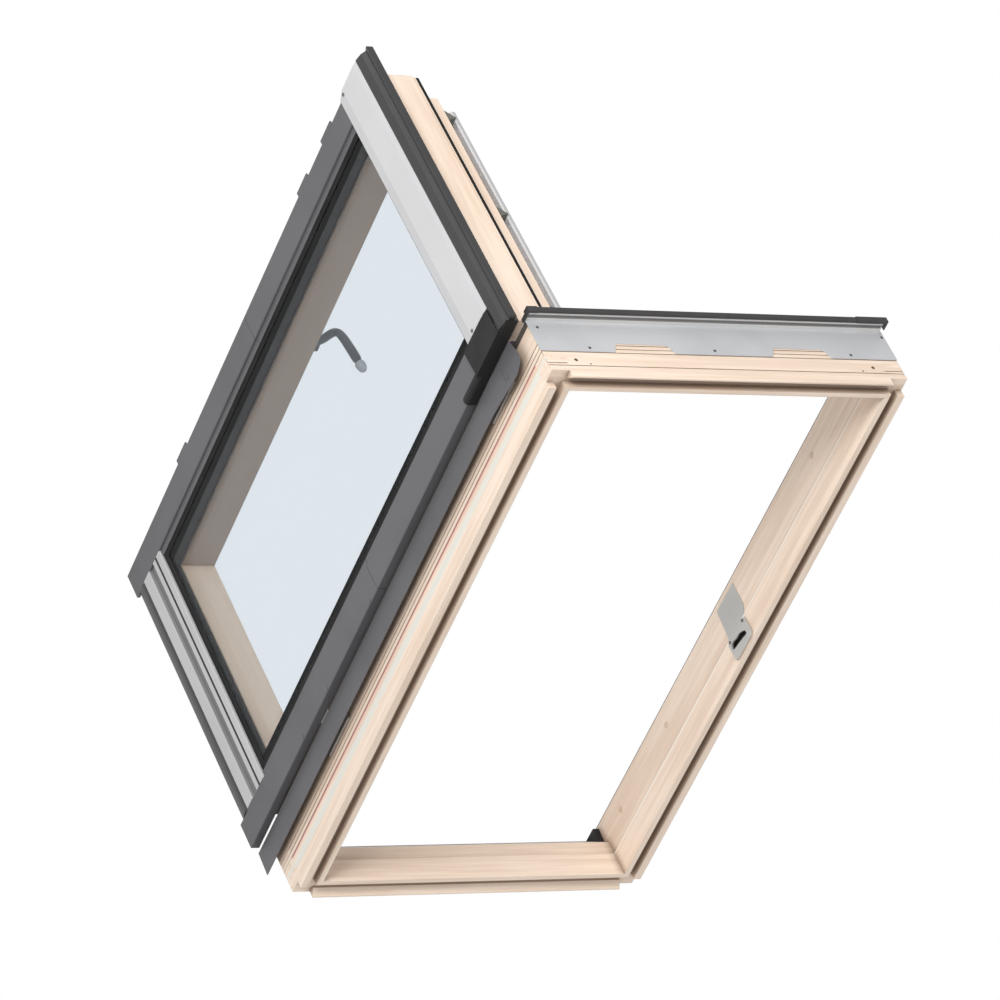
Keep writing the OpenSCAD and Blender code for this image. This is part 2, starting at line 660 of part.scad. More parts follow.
// Handle and lock
module lock_case() color("slategray") on_sash()
    difference() {
        union() {
            block([handle_x - 13, sash_y - 5, handle_z - 28], [handle_x + 37, sash_y, handle_z + 28]);
            block([handle_x + 19, bolt_y - 8, bolt_z - 10], [handle_x + 37, sash_y, bolt_z + 10]);
        }
        block([handle_x + 20.5, bolt_y - 4.3, bolt_z - 6.3], [handle_x + 38, bolt_y + 4.3, bolt_z + 6.3]);
        translate([handle_x, sash_y - 6, handle_z]) rotate([-90, 0, 0]) cylinder(r = 8, h = 4.2);
        for (s = [-1, 1])
            translate([handle_x - 5, sash_y - 6, handle_z + s * 21]) rotate([-90, 0, 0])
                cylinder(r = 2, h = 7);
    }

module lock_bolt() color("silver") on_sash()
    translate([bolt_travel * handle_turn / 90, 0, 0])
        block([handle_x + 21, bolt_y - 4, bolt_z - 6], [handle_x + 36, bolt_y + 4, bolt_z + 6]);

module turned()
    translate([handle_x, 0, handle_z]) rotate([0, -handle_turn, 0]) translate([-handle_x, 0, -handle_z])
        children();

module rod(a, b, r) hull() {
    translate(a) sphere(r = r, $fn = 28);
    translate(b) sphere(r = r, $fn = 28);
}

module handle_lever() color("slategray") on_sash() turned() {
    translate([handle_x, sash_y - 14, handle_z]) rotate([-90, 0, 0]) cylinder(r = 7.9, h = 12);
    rod([handle_x, sash_y - 14, handle_z], [handle_x + 7, 16, handle_z + 23], 8);
    rod([handle_x + 7, 16, handle_z + 23], [handle_x + 3 - grip_l + 10, 3, handle_z + 25], 8.6);
}

module handle_end_cap() color("lightgray") on_sash() turned()
    difference() {
        rod([handle_x + 3 - grip_l + 10, 3, handle_z + 25], [handle_x - grip_l, 1, handle_z + 25], 9);
        translate([handle_x + 3 - grip_l + 10, 3, handle_z + 25]) sphere(r = 9.6, $fn = 28);
    }

module handle_screws() color("gray") on_sash()
    for (s = [-1, 1])
        translate([handle_x - 5, sash_y - 5, handle_z + s * 21]) rotate([-90, 0, 0]) {
            translate([0, 0, -1]) cylinder(r = 3.4, h = 1);
            cylinder(r = 1.9, h = 5);
        }

// Ventilation flap with its control bar
module flap_rod_place() translate([0, sash_y - 8, flap_z0 + 7]) rotate([0, 90, 0]) children();

module vent_flap() color("wheat") on_sash()
    difference() {
        union() {
            along_x(-flap_x, flap_x)
                polygon([[flap_y0 + 12, flap_z0], [sash_y - 8, flap_z0 + 1], [sash_y - 8, flap_z0 + 7],
                    [sash_y - 2, flap_z0 + 7], [sash_y - 2, flap_z1 - 8], [flap_y0 + 20, flap_z1],
                    [flap_y0 + 3, flap_z1], [flap_y0, flap_z1 - 4], [flap_y0, flap_z0 + 16]]);
            translate([-flap_x, 0, 0]) flap_rod_place() cylinder(r = 6, h = 2 * flap_x);
        }
        translate([-flap_x - 1, 0, 0]) flap_rod_place()
            cylinder(r = flap_rod_r + pin_clear, h = 2 * flap_x + 2);
        for (x = flap_lug_xs)
            block([x - flap_lug_w / 2 - 1, sash_y - 16, flap_z0 - 1],
                [x + flap_lug_w / 2 + 1, sash_y + 1, flap_z0 + 15]);
    }

module bar_brackets() color("gray") on_sash()
    for (x = bracket_xs) {
        along_x(x - 12, x + 12)
            polygon([[flap_y0, flap_z1 - 22], [flap_y0, flap_z1 - 8], [bar_y0 + 12, flap_z1 - 8],
                [bar_y0 + 12, flap_z1 - 22]]);
        // Finger rest, rising towards the tip
        polyhedron([[x + 12, flap_y0, flap_z1 - 8], [x - 12, flap_y0, flap_z1 - 8],
            [x - 12, bar_y0 + 12, flap_z1 - 8], [x + 12, flap_y0, flap_z1 - 3],
            [x - 12, flap_y0, flap_z1 - 2], [x - 12, bar_y0 + 12, flap_z1 + 3]],
            [[0, 1, 2], [3, 5, 4], [0, 3, 4, 1], [1, 4, 5, 2], [2, 5, 3, 0]]);
    }

module control_bar() color("white") on_sash()
    along_x(-flap_x + 28, flap_x - 28)
        polygon([[bar_y0 + 1, flap_z1 - 22], [bar_y0 + 11, flap_z1 - 26], [bar_y0 + 12, flap_z1 - 24],
            [bar_y0 + 12, flap_z1 - 5], [bar_y0 + 9, flap_z1 - 3], [bar_y0 + 3, flap_z1 - 4],
            [bar_y0, flap_z1 - 8]]);

module flap_hinge_rod() color("silver") on_sash()
    translate([-flap_x, 0, 0]) flap_rod_place() cylinder(r = flap_rod_r, h = 2 * flap_x);

module flap_hinge_lugs() color("gray") on_sash()
    for (x = flap_lug_xs)
        difference() {
            block([x - flap_lug_w / 2, sash_y - 12, flap_z0 + 2], [x + flap_lug_w / 2, sash_y, flap_z0 + 12]);
            translate([x - flap_lug_w / 2 - 1, 0, 0]) flap_rod_place()
                cylinder(r = flap_rod_r, h = flap_lug_w + 2);
        }

frame_head();
frame_sill();
frame_left_jamb();
frame_right_jamb();
wood_plugs();
head_sheet();
head_sheet_screws();
head_profile();
head_casing();
head_casing_end_left();
head_casing_end_right();
frame_cover_left();
frame_cover_right();
frame_cover_screws();
sill_cover();
sill_corner_pieces();
lock_keep();
lock_keep_screws();
striker_plate();
lower_hinge_frame_leaf();
upper_hinge_frame_leaf();
hinge_pins();
hinge_screws();
lower_hinge_sash_leaf();
upper_hinge_sash_leaf();
sash_hinge_stile();
sash_lock_stile();
sash_top_rail();
sash_bottom_rail();
sash_seal();
glazing_tape();
pane_inner();
pane_spacer();
pane_edge_seal();
pane_outer();
outer_glazing_seal();
sash_cover_hinge_lower();
sash_cover_hinge_upper();
sash_cover_lock_lower();
sash_cover_lock_upper();
sash_cover_bottom();
sash_cover_top();
sash_top_profile();
hinge_corner_cover();
sash_cover_clips();
sash_cover_screws();
lock_case();
lock_bolt();
handle_lever();
handle_end_cap();
handle_screws();
vent_flap();
control_bar();
bar_brackets();
flap_hinge_rod();
flap_hinge_lugs();
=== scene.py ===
import math

import bmesh
import bpy
from mathutils import Matrix, Vector


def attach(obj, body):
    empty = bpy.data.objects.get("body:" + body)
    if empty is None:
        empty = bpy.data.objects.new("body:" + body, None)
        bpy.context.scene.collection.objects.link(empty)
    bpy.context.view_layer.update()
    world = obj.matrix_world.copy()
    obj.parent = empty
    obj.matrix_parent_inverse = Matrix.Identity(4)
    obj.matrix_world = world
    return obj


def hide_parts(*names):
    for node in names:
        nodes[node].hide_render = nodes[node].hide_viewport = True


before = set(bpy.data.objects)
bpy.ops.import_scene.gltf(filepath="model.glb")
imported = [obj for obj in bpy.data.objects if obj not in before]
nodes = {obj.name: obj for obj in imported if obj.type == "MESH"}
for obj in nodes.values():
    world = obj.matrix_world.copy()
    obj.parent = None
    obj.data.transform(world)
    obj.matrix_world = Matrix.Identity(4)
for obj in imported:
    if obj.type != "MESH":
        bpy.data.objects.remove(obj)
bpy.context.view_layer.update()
mm = 0.001
print("frame loaded:", len(nodes), "nodes")


# Camera, light and floor

cameraSettings = {
    "place": (-4.94102, -5.74227, 6.32593),
    "right": (0.8616511, -0.3588436, 0.3588713),
    "up": (-0.0108704, 0.6939219, 0.7199683),
    "forward": (0.5073846, 0.6242625, -0.5940178),
    "lens": 210.15,
}


def makeCamera(s):
    data = bpy.data.cameras.new("camera")
    data.lens = s["lens"]
    data.sensor_width = 36
    data.clip_start = 0.1
    data.clip_end = 200
    cam = bpy.data.objects.new("camera", data)
    right, up, forward = (Vector(s[k]).normalized() for k in ("right", "up", "forward"))
    turn = Matrix((right, up, -forward)).transposed().to_4x4()
    cam.matrix_world = Matrix.Translation(s["place"]) @ turn
    bpy.context.scene.collection.objects.link(cam)
    bpy.context.scene.camera = cam


lightSettings = {
    "backdrop": 1.0,
    "ambient": 0.48,
    # place, aimed at, size, watts, colour
    "key": ((-3.3, -0.9, 4.9), (-0.1, 0.2, 0.6), 2.4, 232, (1.0, 0.992, 0.98)),
    "side": ((2.4, -4.6, 2.6), (0, 0.2, 0.6), 3.0, 36, (0.98, 0.99, 1.0)),
    "back": ((-1.5, 4.5, 2.6), (0, 0.2, 0.6), 3.0, 50, (1.0, 1.0, 1.0)),
}


def seenDirectly(tree):
    # One where the camera sees a thing, straight or through glass
    path = tree.nodes.new("ShaderNodeLightPath")
    either = tree.nodes.new("ShaderNodeMath")
    either.operation = "MAXIMUM"
    tree.links.new(path.outputs["Is Camera Ray"], either.inputs[0])
    tree.links.new(path.outputs["Is Transmission Ray"], either.inputs[1])
    return either.outputs[0]


def makeLights(s):
    for name in ("key", "side", "back"):
        place, target, size, watts, colour = s[name]
        data = bpy.data.lights.new(name, "AREA")
        data.shape = "DISK"
        data.size = size
        data.energy = watts
        data.color = colour
        lamp = bpy.data.objects.new(name, data)
        lamp.location = place
        lamp.rotation_euler = (Vector(target) - Vector(place)).to_track_quat("-Z", "Y").to_euler()
        bpy.context.scene.collection.objects.link(lamp)
    world = bpy.data.worlds.new("studio")
    world.use_nodes = True
    tree = world.node_tree
    strength = tree.nodes.new("ShaderNodeMapRange")
    strength.inputs["To Min"].default_value = s["ambient"]
    strength.inputs["To Max"].default_value = s["backdrop"]
    tree.links.new(seenDirectly(tree), strength.inputs["Value"])
    background = tree.nodes["Background"]
    background.inputs["Color"].default_value = (1, 1, 1, 1)
    tree.links.new(strength.outputs[0], background.inputs["Strength"])
    bpy.context.scene.world = world
    bpy.context.scene.view_settings.view_transform = "Standard"


floorSettings = {"radius": 45, "height": -0.55, "bounce": 0.34, "tone": 0.45}


def makeFloor(s):
    mesh = bpy.data.meshes.new("floor")
    r, z = s["radius"], s["height"]
    mesh.from_pydata([(-r, -r, z), (r, -r, z), (r, r, z), (-r, r, z)], [], [(0, 1, 2, 3)])
    floor = bpy.data.objects.new("floor", mesh)
    bpy.context.scene.collection.objects.link(floor)
    mat = bpy.data.materials.new("paleFloor")
    mat.use_nodes = True
    tree = mat.node_tree
    bsdf = tree.nodes["Principled BSDF"]
    tone = s["tone"]
    bsdf.inputs["Base Color"].default_value = (tone, tone, tone, 1)
    bsdf.inputs["Roughness"].default_value = 0.9
    bsdf.inputs["Specular IOR Level"].default_value = 0.0
    bsdf.inputs["Emission Color"].default_value = (1, 1, 1, 1)
    bsdf.inputs["Emission Strength"].default_value = s["bounce"]
    # Plain white to the eye, and dimmer to the light that bounces off it
    white = tree.nodes.new("ShaderNodeEmission")
    shown = tree.nodes.new("ShaderNodeMixShader")
    tree.links.new(seenDirectly(tree), shown.inputs[0])
    tree.links.new(bsdf.outputs[0], shown.inputs[1])
    tree.links.new(white.outputs[0], shown.inputs[2])
    # Seen from below, the floor lets the view through
    clear = tree.nodes.new("ShaderNodeBsdfTransparent")
    back = tree.nodes.new("ShaderNodeNewGeometry")
    mix = tree.nodes.new("ShaderNodeMixShader")
    tree.links.new(back.outputs["Backfacing"], mix.inputs[0])
    tree.links.new(shown.outputs[0], mix.inputs[1])
    tree.links.new(clear.outputs[0], mix.inputs[2])
    tree.links.new(mix.outputs[0], tree.nodes["Material Output"].inputs["Surface"])
    mesh.materials.append(mat)


makeCamera(cameraSettings)
makeLights(lightSettings)
makeFloor(floorSettings)
print("camera, light and floor set")


# Shader groups shared by the finishes

def newGroup(name, inputs, outputs):
    tree = bpy.data.node_groups.new(name, "ShaderNodeTree")
    for label, kind, value in inputs:
        socket = tree.interface.new_socket(label, in_out="INPUT", socket_type=kind)
        if value is not None:
            socket.default_value = value
    for label, kind in outputs:
        tree.interface.new_socket(label, in_out="OUTPUT", socket_type=kind)
    return tree, tree.nodes.new("NodeGroupInput"), tree.nodes.new("NodeGroupOutput")


def addNode(tree, kind, links=(), **values):
    node = tree.nodes.new(kind)
    for key, value in values.items():
        setattr(node, key, value)
    for socket, source in links:
        if isinstance(source, bpy.types.NodeSocket):
            tree.links.new(source, node.inputs[socket])
        else:
            node.inputs[socket].default_value = source
    return node


def mathNode(tree, operation, a, b=None, clamp=False):
    links = [(0, a)] if b is None else [(0, a), (1, b)]
    return addNode(tree, "ShaderNodeMath", links, operation=operation, use_clamp=clamp).outputs[0]


def mixColour(tree, amount, a, b):
    node = addNode(tree, "ShaderNodeMix", data_type="RGBA")
    for index, source in ((0, amount), (6, a), (7, b)):
        if isinstance(source, bpy.types.NodeSocket):
            tree.links.new(source, node.inputs[index])
        else:
            node.inputs[index].default_value = source
    return node.outputs[2]


def makeGrainGroup():
    # Grain runs along the third axis of the vector that comes in
    tree, gin, gout = newGroup(
        "woodGrain",
        [("Vector", "NodeSocketVector", None), ("Light", "NodeSocketColor", (0.8, 0.65, 0.5, 1)),
         ("Dark", "NodeSocketColor", (0.6, 0.42, 0.28, 1)), ("Rings", "NodeSocketFloat", 60.0),
         ("Contrast", "NodeSocketFloat", 0.5), ("Fibre", "NodeSocketFloat", 900.0)],
        [("Color", "NodeSocketColor"), ("Roughness", "NodeSocketFloat"), ("Height", "NodeSocketFloat")])
    vector = gin.outputs["Vector"]
    stretched = addNode(tree, "ShaderNodeVectorMath", [(0, vector), (1, (1.0, 1.0, 0.045))],
                        operation="MULTIPLY").outputs[0]
    sway = addNode(tree, "ShaderNodeTexNoise", [("Vector", stretched), ("Scale", 9.0), ("Detail", 2.0)])
    swayed = addNode(tree, "ShaderNodeVectorMath", [(0, sway.outputs["Color"]), (1, (0.035, 0.035, 0.0))],
                     operation="MULTIPLY").outputs[0]
    bent = addNode(tree, "ShaderNodeVectorMath", [(0, stretched), (1, swayed)], operation="ADD").outputs[0]
    rings = addNode(tree, "ShaderNodeTexNoise",
                    [("Vector", bent), ("Scale", gin.outputs["Rings"]), ("Detail", 3.0), ("Roughness", 0.6)])
    ringMask = addNode(tree, "ShaderNodeMapRange",
                       [("Value", rings.outputs["Fac"]), ("From Min", 0.36), ("From Max", 0.66)],
                       interpolation_type="SMOOTHSTEP").outputs[0]
    thin = addNode(tree, "ShaderNodeVectorMath", [(0, vector), (1, (1.0, 1.0, 0.012))],
                   operation="MULTIPLY").outputs[0]
    fibre = addNode(tree, "ShaderNodeTexNoise",
                    [("Vector", thin), ("Scale", gin.outputs["Fibre"]), ("Detail", 2.0)])
    fibreMask = addNode(tree, "ShaderNodeMapRange",
                        [("Value", fibre.outputs["Fac"]), ("From Min", 0.35), ("From Max", 0.75)]).outputs[0]
    broad = addNode(tree, "ShaderNodeTexNoise", [("Vector", stretched), ("Scale", 5.0), ("Detail", 1.0)])
    both = mathNode(tree, "ADD", mathNode(tree, "MULTIPLY", ringMask, 0.62),
                    mathNode(tree, "MULTIPLY", fibreMask, 0.28))
    both = mathNode(tree, "ADD", both, mathNode(tree, "MULTIPLY", broad.outputs["Fac"], 0.2))
    amount = mathNode(tree, "MULTIPLY", both, gin.outputs["Contrast"], clamp=True)
    colour = mixColour(tree, amount, gin.outputs["Light"], gin.outputs["Dark"])
    rough = addNode(tree, "ShaderNodeMapRange",
                    [("Value", both), ("From Min", 0.0), ("From Max", 1.0), ("To Min", 0.42),
                     ("To Max", 0.56)])
    tree.links.new(colour, gout.inputs["Color"])
    tree.links.new(rough.outputs[0], gout.inputs["Roughness"])
    tree.links.new(both, gout.inputs["Height"])
    return tree


def makeCoatGroup():
    # Even paint or mill finish with faint clouds and a fine tooth
    tree, gin, gout = newGroup(
        "coatFinish",
        [("Vector", "NodeSocketVector", None), ("Base", "NodeSocketColor", (0.5, 0.5, 0.5, 1)),
         ("Shade", "NodeSocketColor", (0.4, 0.4, 0.4, 1)), ("Cloud", "NodeSocketFloat", 14.0),
         ("Tooth", "NodeSocketFloat", 1800.0), ("Stretch", "NodeSocketVector", (1, 1, 1)),
         ("Smooth", "NodeSocketFloat", 0.3), ("Rough", "NodeSocketFloat", 0.45)],
        [("Color", "NodeSocketColor"), ("Roughness", "NodeSocketFloat"), ("Height", "NodeSocketFloat")])
    stretched = addNode(tree, "ShaderNodeVectorMath",
                        [(0, gin.outputs["Vector"]), (1, gin.outputs["Stretch"])],
                        operation="MULTIPLY").outputs[0]
    cloud = addNode(tree, "ShaderNodeTexNoise",
                    [("Vector", stretched), ("Scale", gin.outputs["Cloud"]), ("Detail", 4.0)])
    tooth = addNode(tree, "ShaderNodeTexNoise",
                    [("Vector", stretched), ("Scale", gin.outputs["Tooth"]), ("Detail", 1.0)])
    cloudMask = addNode(tree, "ShaderNodeMapRange",
                        [("Value", cloud.outputs["Fac"]), ("From Min", 0.3), ("From Max", 0.7)],
                        interpolation_type="SMOOTHSTEP").outputs[0]
    blend = mathNode(tree, "ADD", mathNode(tree, "MULTIPLY", cloudMask, 0.7),
                     mathNode(tree, "MULTIPLY", tooth.outputs["Fac"], 0.3), clamp=True)
    colour = mixColour(tree, blend, gin.outputs["Base"], gin.outputs["Shade"])
    rough = addNode(tree, "ShaderNodeMapRange", [("Value", blend), ("From Min", 0.0), ("From Max", 1.0),
                                                  ("To Min", gin.outputs["Smooth"]),
                                                  ("To Max", gin.outputs["Rough"])])
    tree.links.new(colour, gout.inputs["Color"])
    tree.links.new(rough.outputs[0], gout.inputs["Roughness"])
    tree.links.new(tooth.outputs["Fac"], gout.inputs["Height"])
    return tree


grainGroup = makeGrainGroup()
coatGroup = makeCoatGroup()
print("shader groups built")


# Finishes

def startMaterial(name):
    mat = bpy.data.materials.new(name)
    mat.use_nodes = True
    tree = mat.node_tree
    return mat, tree, tree.nodes["Principled BSDF"]


def useGroup(tree, group, values):
    node = tree.nodes.new("ShaderNodeGroup")
    node.node_tree = group
    for key, value in values.items():
        if isinstance(value, bpy.types.NodeSocket):
            tree.links.new(value, node.inputs[key])
        else:
            node.inputs[key].default_value = value
    return node


def bumpFrom(tree, bsdf, height, strength, distance, normal=None):
    bump = addNode(tree, "ShaderNodeBump",
                   [("Strength", strength), ("Distance", distance), ("Height", height)])
    if normal:
        tree.links.new(normal, bump.inputs["Normal"])
    tree.links.new(bump.outputs[0], bsdf.inputs["Normal"])


woodSettings = {
    "light": (0.93, 0.78, 0.65, 1),
    "dark": (0.655, 0.475, 0.345, 1),
    "rings": 70.0,
    "contrast": 0.62,
    "fibre": 700.0,
    "lacquer": 0.2,
    "edge": 0.0009,
    # reach of each shade, most and least closed place, strength and tone
    "shades": [
        (0.017, 0.34, 0.93, 0.84, (0.15, 0.09, 0.055, 1)),
        (0.045, 0.15, 0.85, 0.24, (0.34, 0.22, 0.15, 1)),
    ],
}


def shadeHollows(tree, colour, shades):
    for reach, closed, free, strength, tone in shades:
        hollow = addNode(tree, "ShaderNodeAmbientOcclusion", [("Distance", reach)], samples=6)
        depth = addNode(tree, "ShaderNodeMapRange",
                        [("Value", hollow.outputs["AO"]), ("From Min", closed), ("From Max", free),
                         ("To Min", strength), ("To Max", 0.0)]).outputs[0]
        colour = mixColour(tree, depth, colour, tone)
    return colour


def woodMaterial(name, along, s, shift=0.0):
    mat, tree, bsdf = startMaterial(name)
    coords = tree.nodes.new("ShaderNodeTexCoord")
    turn = {"x": (0, math.pi / 2, 0), "y": (math.pi / 2, 0, 0), "z": (0, 0, 0)}[along]
    place = addNode(tree, "ShaderNodeMapping", [("Vector", coords.outputs["Object"]),
                                                ("Rotation", turn),
                                                ("Location", (shift, shift * 0.7, shift))])
    grain = useGroup(tree, grainGroup, {"Vector": place.outputs[0], "Light": s["light"], "Dark": s["dark"],
                                        "Rings": s["rings"], "Contrast": s["contrast"], "Fibre": s["fibre"]})
    tree.links.new(shadeHollows(tree, grain.outputs["Color"], s["shades"]), bsdf.inputs["Base Color"])
    tree.links.new(grain.outputs["Roughness"], bsdf.inputs["Roughness"])
    bsdf.inputs["Coat Weight"].default_value = s["lacquer"]
    bsdf.inputs["Coat Roughness"].default_value = 0.3
    # Arrises eased by sanding
    eased = addNode(tree, "ShaderNodeBevel", [("Radius", s["edge"])], samples=4)
    bumpFrom(tree, bsdf, grain.outputs["Height"], 0.12, 0.0004, eased.outputs[0])
    return mat


# Print, painted shade and a painted highlight on the wood: ranges of |X|, Y and Z in metres, tone and
# strength
woodMarksAndShade = {
    "jamb": [
        # red line and grey strip along the outer face
        ((0.3296, 1), (-0.0022, 0.0006), None, (0.66, 0.22, 0.21, 1), 0.85),
        ((0.3296, 1), (-0.024, -0.0105), None, (0.74, 0.76, 0.71, 1), 0.75),
        # shade at the bottoms of the grooves
        ((0.3282, 0.3292), (-0.004, 0.022), None, (0.20, 0.125, 0.075, 1), 0.9),
        # shade in the gap under the covers, on both jambs
        ((0.318, 1), (0.0596, 1), None, (0.030, 0.028, 0.027, 1), 0.92),
        # painted highlight along the arris of the stop, and painted shade on the face beyond the step
        ((0.2915, 0.2935), (-0.0090, -0.0066), None, (1.0, 0.95, 0.88, 1), 0.9),
        ((0.2995, 0.3005), (-0.0066, -0.0030), None, (0.48, 0.34, 0.25, 1), 0.55),
        # shade in the mortise behind the keep
        ((0.2932, 0.3015), (-0.0395, -0.0165), (0.5505, 0.6065), (0.03, 0.026, 0.024, 1), 0.95),
    ],
    "head": [
        # painted shade at the bottoms of the grooves in the top
        (None, (-0.035, 0.022), (1.1762, 1.1772), (0.20, 0.125, 0.075, 1), 0.9),
    ],
    # Painted shade on the faces of the sash's wood around the glass, deepest on the lock stile, and last the
    # painted shade by the hinge
    "sash": [
        (None, (0.1684, 0.1696), (0.1, 1.06), (0.62, 0.45, 0.32, 1), 0.75),
        (None, (0.6224, 0.6236), (0.1, 1.06), (0.27, 0.18, 0.12, 1), 0.87),
        (None, None, (0.1034, 0.1046), (0.90, 0.64, 0.44, 1), 0.6),
        (None, None, (1.0519, 1.0531), (0.52, 0.38, 0.28, 1), 0.6),
        ((0.318, 1), (0.09, 0.115), None, (0.030, 0.028, 0.027, 1), 0.92),
    ],
}


def bandMask(tree, value, low, high):
    above = mathNode(tree, "GREATER_THAN", value, low)
    below = mathNode(tree, "LESS_THAN", value, high)
    return mathNode(tree, "MULTIPLY", above, below)


def markedAndShadedMaterial(mat, marksAndShades):
    tree = mat.node_tree
    bsdf = tree.nodes["Principled BSDF"]
    coords = tree.nodes.new("ShaderNodeTexCoord")
    parts = addNode(tree, "ShaderNodeSeparateXYZ", [(0, coords.outputs["Object"])])
    aside = mathNode(tree, "ABSOLUTE", parts.outputs["X"])
    colour = bsdf.inputs["Base Color"].links[0].from_socket
    # Each range mixes in print, painted shade or a painted highlight
    for across, along, height, tone, strength in marksAndShades:
        mask = None
        for span, value in ((across, aside), (along, parts.outputs["Y"]), (height, parts.outputs["Z"])):
            if span:
                band = bandMask(tree, value, *span)
                mask = mathNode(tree, "MULTIPLY", mask, band) if mask else band
        colour = mixColour(tree, mathNode(tree, "MULTIPLY", mask, strength), colour, tone)
    tree.links.new(colour, bsdf.inputs["Base Color"])
    return mat


def coatMaterial(name, base, shade, metallic=0.0, smooth=0.3, rough=0.45, cloud=14.0, tooth=1800.0,
                 stretch=(1, 1, 1), bump=0.05, specular=0.5, coat=0.0):
    mat, tree, bsdf = startMaterial(name)
    coords = tree.nodes.new("ShaderNodeTexCoord")
    finish = useGroup(tree, coatGroup, {"Vector": coords.outputs["Object"], "Base": (*base, 1),
                                        "Shade": (*shade, 1), "Cloud": cloud, "Tooth": tooth,
                                        "Stretch": stretch, "Smooth": smooth, "Rough": rough})
    tree.links.new(finish.outputs["Color"], bsdf.inputs["Base Color"])
    tree.links.new(finish.outputs["Roughness"], bsdf.inputs["Roughness"])
    bsdf.inputs["Metallic"].default_value = metallic
    bsdf.inputs["Specular IOR Level"].default_value = specular
    bsdf.inputs["Coat Weight"].default_value = coat
    bumpFrom(tree, bsdf, finish.outputs["Height"], bump, 0.0002)
    return mat


# Painted shade on the folds of the covers and in the recess of the profile, as low and high Z of each with
# its tone
foldShadeSettings = {
    "bottom": [((-1.0, 0.021), (0.075, 0.075, 0.078, 1)), ((0.0495, 0.0665), (0.19, 0.19, 0.195, 1)),
               ((0.0785, 0.084), (0.10, 0.10, 0.102, 1))],
    "profile": [((1.1845, 1.1915), (0.27, 0.265, 0.26, 1))],
}


def foldShadedMaterial(name, shadedFolds, base, shade, **values):
    mat = coatMaterial(name, base, shade, **values)
    tree = mat.node_tree
    bsdf = tree.nodes["Principled BSDF"]
    coords = tree.nodes.new("ShaderNodeTexCoord")
    height = addNode(tree, "ShaderNodeSeparateXYZ", [(0, coords.outputs["Object"])]).outputs["Z"]
    colour = bsdf.inputs["Base Color"].links[0].from_socket
    # Each band mixes in its painted shade
    for (low, high), tone in shadedFolds:
        colour = mixColour(tree, bandMask(tree, height, low, high), colour, tone)
    tree.links.new(colour, bsdf.inputs["Base Color"])
    return mat


glassSettings = {"tint": (0.854, 0.886, 0.916, 1), "ior": 1.17, "haze": 0.01,
                 "shadow": (0.58, 0.60, 0.61, 1)}


def glassMaterial(name, s):
    mat, tree, bsdf = startMaterial(name)
    bsdf.inputs["Base Color"].default_value = s["tint"]
    bsdf.inputs["Transmission Weight"].default_value = 1.0
    bsdf.inputs["IOR"].default_value = s["ior"]
    coords = tree.nodes.new("ShaderNodeTexCoord")
    film = addNode(tree, "ShaderNodeTexNoise", [("Vector", coords.outputs["Object"]), ("Scale", 3.0)])
    haze = addNode(tree, "ShaderNodeMapRange", [("Value", film.outputs["Fac"]), ("To Min", 0.0),
                                                 ("To Max", s["haze"] * 2)])
    tree.links.new(haze.outputs[0], bsdf.inputs["Roughness"])
    # Light reaches what stands behind the glass
    clear = tree.nodes.new("ShaderNodeBsdfTransparent")
    clear.inputs[0].default_value = s["shadow"]
    path = tree.nodes.new("ShaderNodeLightPath")
    mix = tree.nodes.new("ShaderNodeMixShader")
    tree.links.new(path.outputs["Is Shadow Ray"], mix.inputs[0])
    tree.links.new(bsdf.outputs[0], mix.inputs[1])
    tree.links.new(clear.outputs[0], mix.inputs[2])
    tree.links.new(mix.outputs[0], tree.nodes["Material Output"].inputs["Surface"])
    return mat


